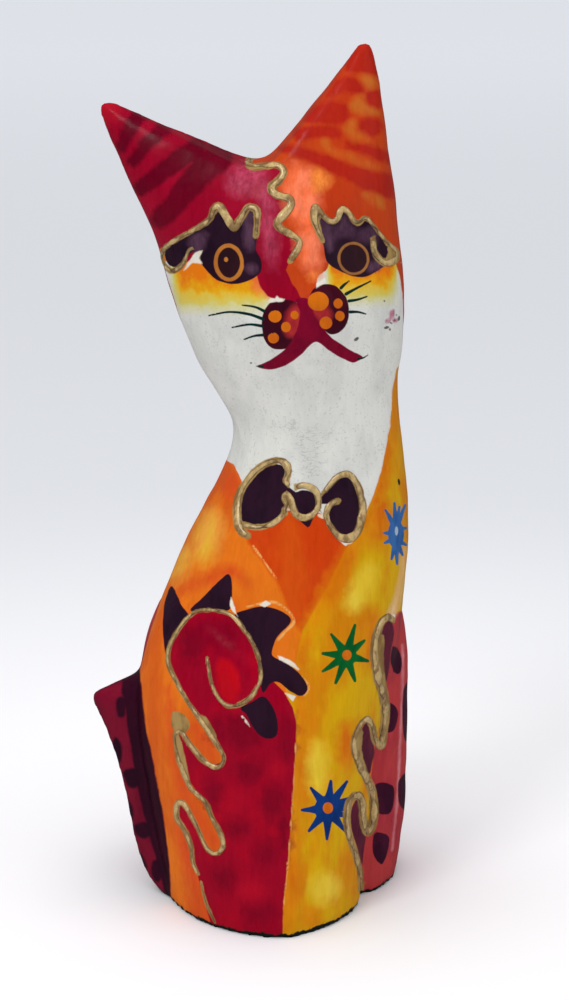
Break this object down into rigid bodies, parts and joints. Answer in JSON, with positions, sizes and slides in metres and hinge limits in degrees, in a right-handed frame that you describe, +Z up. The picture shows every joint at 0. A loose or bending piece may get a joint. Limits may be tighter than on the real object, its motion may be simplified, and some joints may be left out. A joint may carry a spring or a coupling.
{
  "type": "cat figurine",
  "caption": "Slender seated cat carved from one block of wood, head leaning to one side on a long neck, pointed ears, flaring tail, painted and varnished.",
  "frame": {"origin": "on the flat sole, below the middle of the outer box", "axes": "+Z up; the cat looks along -Y, and +X is to the right of someone who looks it in the face"},
  "size_m": [0.0756, 0.0684, 0.2],
  "materials": {
    "painted_wood": "hand painted in red, orange, yellow and white under a glossy varnish"
  },
  "bodies": {
    "root": {"cat": "painted_wood"}
  },
  "joints": []
}
